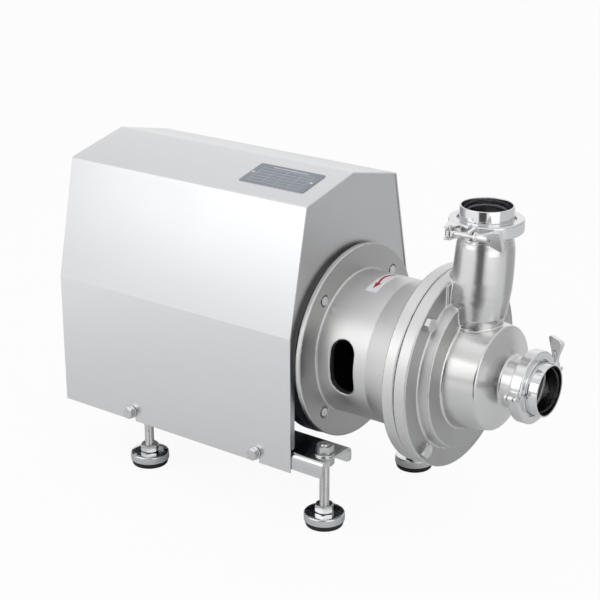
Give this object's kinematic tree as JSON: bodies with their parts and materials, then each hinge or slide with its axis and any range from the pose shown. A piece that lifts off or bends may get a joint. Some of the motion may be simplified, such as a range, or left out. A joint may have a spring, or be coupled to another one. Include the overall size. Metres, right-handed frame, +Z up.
{
  "type": "sanitary centrifugal pump",
  "caption": "Stainless centrifugal pump with a flanged motor under a lift-off folded cover, clamped inlet and outlet ports, and levelling feet on rails.",
  "frame": {"origin": "on the floor under the middle of the whole pump's length and width", "axes": "+X along the shaft out of the inlet, +Z up out of the outlet, +Y to the left when facing along +X"},
  "size_m": [0.5314, 0.2196, 0.3391],
  "materials": {
    "satin_steel": "satin",
    "polished_steel": "polished",
    "fasteners": "plain",
    "motor_paint": "painted",
    "fan_sheet": "painted",
    "core_steel": "ground",
    "copper": "varnished wire",
    "rubber": "matte",
    "black_plastic": "matte",
    "white_seal": "smooth",
    "carbon_seal": "lapped",
    "plate": "printed sheet",
    "label": "printed film"
  },
  "bodies": {
    "base": {"rail_left": "satin_steel", "rail_right": "satin_steel", "foot_nuts": "fasteners", "foot_washers": "fasteners", "motor_frame": "motor_paint", "drive_end_shield": "motor_paint", "rear_end_shield": "motor_paint", "stator_core": "core_steel", "stator_windings": "copper", "bearing_outer_rings": "core_steel", "bearing_balls": "core_steel", "fan_cover": "fan_sheet", "terminal_box": "motor_paint", "cable_gland": "black_plastic", "motor_foot_bolts": "fasteners", "lantern": "satin_steel", "rotation_label": "label", "flange_screws": "fasteners", "back_plate": "satin_steel", "casing_seal": "white_seal", "front_casing": "satin_steel", "casing_bolts": "fasteners", "seal_seat": "carbon_seal", "inlet_gasket": "white_seal", "inlet_ferrule": "polished_steel", "inlet_clamp_lower": "polished_steel", "inlet_clamp_upper": "polished_steel", "inlet_clamp_pins": "polished_steel", "outlet_gasket": "white_seal", "outlet_ferrule": "polished_steel", "outlet_clamp_rear": "polished_steel", "outlet_clamp_front": "polished_steel", "outlet_clamp_pins": "polished_steel", "cover_bolts": "fasteners"},
    "cover": {"cover_shell": "satin_steel", "cover_front_plate": "satin_steel", "cover_back_plate": "satin_steel", "nameplate": "plate", "nameplate_rivets": "fasteners"},
    "rotor": {"motor_shaft": "core_steel", "rotor_core": "core_steel", "bearing_inner_rings": "core_steel", "cooling_fan": "black_plastic", "pump_shaft": "polished_steel", "seal_head": "carbon_seal", "impeller": "polished_steel", "impeller_nut": "polished_steel"},
    "inlet_bolt": {"inlet_swing_bolt": "polished_steel"},
    "inlet_nut": {"inlet_wing_nut": "polished_steel"},
    "outlet_bolt": {"outlet_swing_bolt": "polished_steel"},
    "outlet_nut": {"outlet_wing_nut": "polished_steel"},
    "foot_front_right": {"foot_front_right_stud": "polished_steel", "foot_front_right_pad": "rubber"},
    "foot_front_left": {"foot_front_left_stud": "polished_steel", "foot_front_left_pad": "rubber"},
    "foot_rear_right": {"foot_rear_right_stud": "polished_steel", "foot_rear_right_pad": "rubber"},
    "foot_rear_left": {"foot_rear_left_stud": "polished_steel", "foot_rear_left_pad": "rubber"}
  },
  "joints": [
    {"name": "cover_lift", "type": "slide", "parent": "base", "child": "cover", "axis": [0, 0, 1], "range_m": [0, 0.26]},
    {"name": "rotor_spin", "type": "hinge", "parent": "base", "child": "rotor", "pos_m": [0.04585, 0, 0.1666], "axis": [1, 0, 0], "continuous": true},
    {"name": "outlet_bolt_swing", "type": "hinge", "parent": "base", "child": "outlet_bolt", "pos_m": [0.17891, -0.04373, 0.3154], "axis": [0, 0, -1], "range_deg": [0, 100]},
    {"name": "outlet_nut_spin", "type": "hinge", "parent": "outlet_bolt", "child": "outlet_nut", "pos_m": [0.20322, -0.04161, 0.3154], "axis": [0.9962, 0.0872, 0], "continuous": true},
    {"name": "inlet_bolt_swing", "type": "hinge", "parent": "base", "child": "inlet_bolt", "pos_m": [0.24765, 0.04192, 0.14913], "axis": [-1, 0, 0], "range_deg": [0, 100]},
    {"name": "inlet_nut_spin", "type": "hinge", "parent": "inlet_bolt", "child": "inlet_nut", "pos_m": [0.24765, 0.04277, 0.17351], "axis": [0, 0.0349, 0.9994], "continuous": true},
    {"name": "foot_front_right_height", "type": "slide", "parent": "base", "child": "foot_front_right", "axis": [0, 0, 1], "range_m": [-0.0045, 0.02]},
    {"name": "foot_front_left_height", "type": "slide", "parent": "base", "child": "foot_front_left", "axis": [0, 0, 1], "range_m": [-0.0045, 0.02]},
    {"name": "foot_rear_right_height", "type": "slide", "parent": "base", "child": "foot_rear_right", "axis": [0, 0, 1], "range_m": [-0.0045, 0.02]},
    {"name": "foot_rear_left_height", "type": "slide", "parent": "base", "child": "foot_rear_left", "axis": [0, 0, 1], "range_m": [-0.0045, 0.02]}
  ]
}
